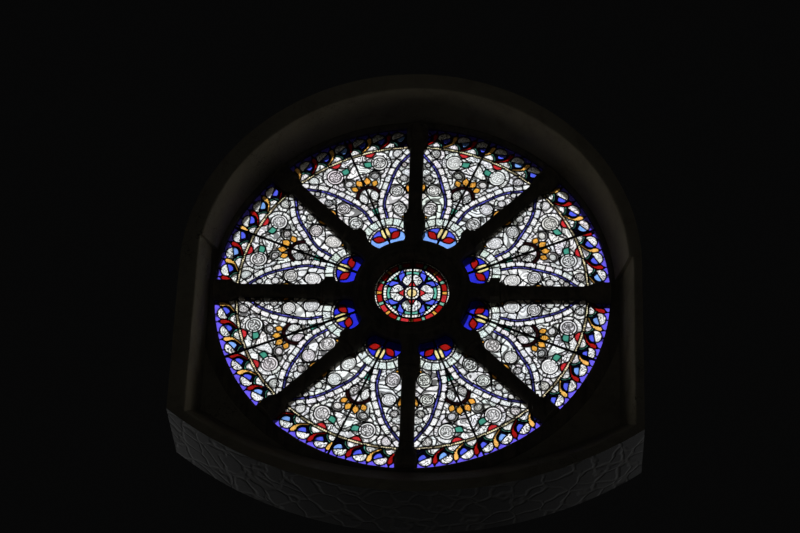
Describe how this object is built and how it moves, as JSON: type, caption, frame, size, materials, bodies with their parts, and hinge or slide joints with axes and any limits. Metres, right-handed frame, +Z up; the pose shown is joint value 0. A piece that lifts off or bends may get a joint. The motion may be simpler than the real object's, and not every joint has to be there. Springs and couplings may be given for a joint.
{
  "type": "rose window",
  "caption": "Round stone wheel window: a moulded hub and column spokes hold leaded stained-glass lights and a roundel, set in an arched plastered reveal with a sloping sill.",
  "frame": {"origin": "on the flat outer side of the reveal, in the middle and low down on the block under the wheel, where the wall carries the window", "axes": "+Z up, +Y out of the building, through the window's outer side, +X to the right for someone inside who looks at the window; the room side faces -Y"},
  "size_m": [3.62, 0.71, 3.8036],
  "materials": {
    "stone": "tooled stone, darkened by age",
    "plaster": "old lime plaster, matt and stained",
    "leaded_glass": "pot-metal coloured and painted white glass in lead cames",
    "iron": "wrought iron bar, dull and slightly rusted"
  },
  "bodies": {
    "root": {"reveal": "plaster", "rim": "stone", "hub": "stone", "spoke_1": "stone", "spoke_2": "stone", "spoke_3": "stone", "spoke_4": "stone", "spoke_5": "stone", "spoke_6": "stone", "spoke_7": "stone", "spoke_8": "stone", "light_1": "leaded_glass", "light_2": "leaded_glass", "light_3": "leaded_glass", "light_4": "leaded_glass", "light_5": "leaded_glass", "light_6": "leaded_glass", "light_7": "leaded_glass", "light_8": "leaded_glass", "roundel": "leaded_glass", "bar_1": "iron", "bar_2": "iron", "bar_3": "iron", "bar_4": "iron", "bar_5": "iron", "bar_6": "iron", "bar_7": "iron", "bar_8": "iron", "roundel_bar": "iron"}
  },
  "joints": []
}
